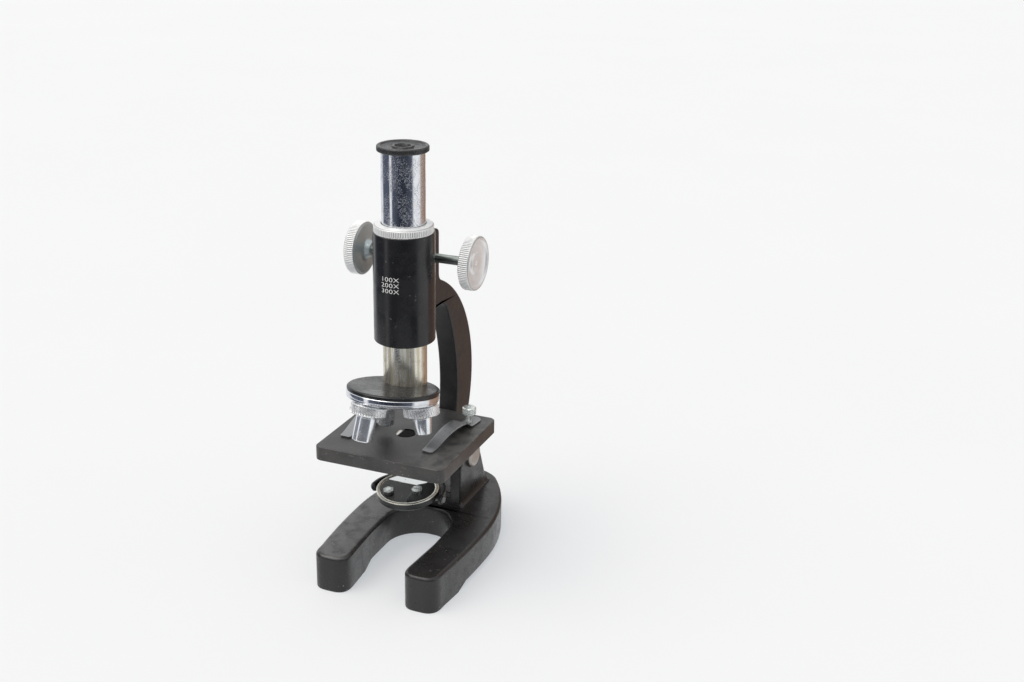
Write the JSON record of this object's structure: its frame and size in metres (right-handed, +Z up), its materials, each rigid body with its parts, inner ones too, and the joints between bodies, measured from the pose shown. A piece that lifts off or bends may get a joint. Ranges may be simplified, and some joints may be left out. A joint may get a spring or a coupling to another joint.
{
  "type": "student compound microscope",
  "caption": "Monocular student microscope: horseshoe foot, tilting C-arm, rack focus, turret of objectives, square stage with spring clips and a swinging mirror.",
  "frame": {"origin": "on the table, under the middle of the whole object", "axes": "+Z up along the optical tube, front (objectives and toes) towards -Y, +X to the user's right when looking along +Y"},
  "size_m": [0.072, 0.12, 0.215],
  "materials": {
    "foot_paint": "semi-gloss black enamel",
    "limb_paint": "semi-gloss black enamel",
    "stage_paint": "matte black with scuffs",
    "sleeve_enamel": "gloss black enamel",
    "bush_black": "blackened",
    "ring_aluminium": "knurled, satin",
    "knob_aluminium": "turned, knurled rim",
    "shaft_steel": "ground",
    "drive_brass": "machined",
    "tube_nickel": "worn nickel plate",
    "plate_black": "satin black",
    "chrome_bright": "bright chrome",
    "turret_chrome": "bright chrome",
    "barrel_chrome": "bright chrome",
    "collar_silver": "fine knurl",
    "eyepiece_chrome": "pitted chrome",
    "cap_black": "satin",
    "lens_glass": "polished",
    "clip_steel": "spring steel",
    "screw_chrome": "bright",
    "bolt_steel": "plain",
    "stop_black": "flat black",
    "yoke_black": "satin black",
    "bezel_nickel": "worn plating",
    "mirror_silver": "silvered"
  },
  "bodies": {
    "base": {"horseshoe_base": "foot_paint", "pillar": "foot_paint", "pillar_bolts": "bolt_steel", "hinge_bolt": "screw_chrome", "hinge_washer": "screw_chrome", "hinge_nut": "screw_chrome"},
    "limb": {"limb": "limb_paint", "stage": "stage_paint", "stage_screws": "bolt_steel", "tube_sleeve": "sleeve_enamel", "guide_bush": "bush_black", "sleeve_ring": "ring_aluminium"},
    "pinion": {"pinion_shaft": "shaft_steel", "pinion_gear": "drive_brass", "knob_left": "knob_aluminium", "knob_right": "knob_aluminium"},
    "tube": {"body_tube": "tube_nickel", "rack": "drive_brass", "rack_screws": "bolt_steel", "tube_baffle": "stop_black", "nosepiece_plate": "plate_black", "nosepiece_screw": "chrome_bright"},
    "nosepiece": {"nosepiece_disc": "turret_chrome", "collar_long": "collar_silver", "collar_short": "collar_silver", "collar_medium": "collar_silver", "barrel_long": "barrel_chrome", "barrel_short": "barrel_chrome", "barrel_medium": "barrel_chrome", "lens_long": "lens_glass", "lens_short": "lens_glass", "lens_medium": "lens_glass"},
    "eyepiece": {"eyepiece_tube": "eyepiece_chrome", "eyepiece_cap": "cap_black", "eye_lens": "lens_glass", "field_stop": "stop_black", "field_lens": "lens_glass"},
    "left_clip": {"clip_left": "clip_steel", "clip_screw_left": "screw_chrome", "clip_nut_left": "screw_chrome"},
    "right_clip": {"clip_right": "clip_steel", "clip_screw_right": "screw_chrome", "clip_nut_right": "screw_chrome"},
    "yoke": {"mirror_yoke": "yoke_black", "yoke_stem": "yoke_black", "mirror_pivots": "screw_chrome"},
    "mirror": {"mirror_cup": "yoke_black", "mirror_bezel": "bezel_nickel", "mirror_glass": "mirror_silver"}
  },
  "joints": [
    {"name": "limb_tilt", "type": "hinge", "parent": "base", "child": "limb", "pos_m": [0, 0.0276, 0.043], "axis": [-1, 0, 0], "range_deg": [0, 60]},
    {"name": "focus", "type": "slide", "parent": "limb", "child": "tube", "axis": [0, 0, 1], "range_m": [-0.001, 0.012]},
    {"name": "pinion_spin", "type": "hinge", "parent": "limb", "child": "pinion", "pos_m": [0, -0.0074, 0.1593], "axis": [1, 0, 0], "range_deg": [-232, 22]},
    {"name": "nosepiece_turn", "type": "hinge", "parent": "tube", "child": "nosepiece", "pos_m": [0, -0.034, 0.10229], "axis": [0, 0.1736, 0.9848], "continuous": true},
    {"name": "eyepiece_draw", "type": "slide", "parent": "tube", "child": "eyepiece", "axis": [0, 0, 1], "range_m": [0, 0.01]},
    {"name": "left_clip_swing", "type": "hinge", "parent": "limb", "child": "left_clip", "pos_m": [-0.0235, 0.0016, 0.073], "axis": [0, 0, -1], "range_deg": [-5, 90]},
    {"name": "right_clip_swing", "type": "hinge", "parent": "limb", "child": "right_clip", "pos_m": [0.0235, 0.0016, 0.073], "axis": [0, 0, 1], "range_deg": [-5, 90]},
    {"name": "yoke_swing", "type": "hinge", "parent": "limb", "child": "yoke", "pos_m": [0, 0.0086, 0.04], "axis": [0, 1, 0], "range_deg": [-35, 35]},
    {"name": "mirror_tilt", "type": "hinge", "parent": "yoke", "child": "mirror", "pos_m": [0, -0.0199, 0.04], "axis": [1, 0, 0], "range_deg": [-60, 60]}
  ],
  "couplings": [
    {"joint": "pinion_spin", "follows": "focus", "rad_per_m": -333.33}
  ]
}
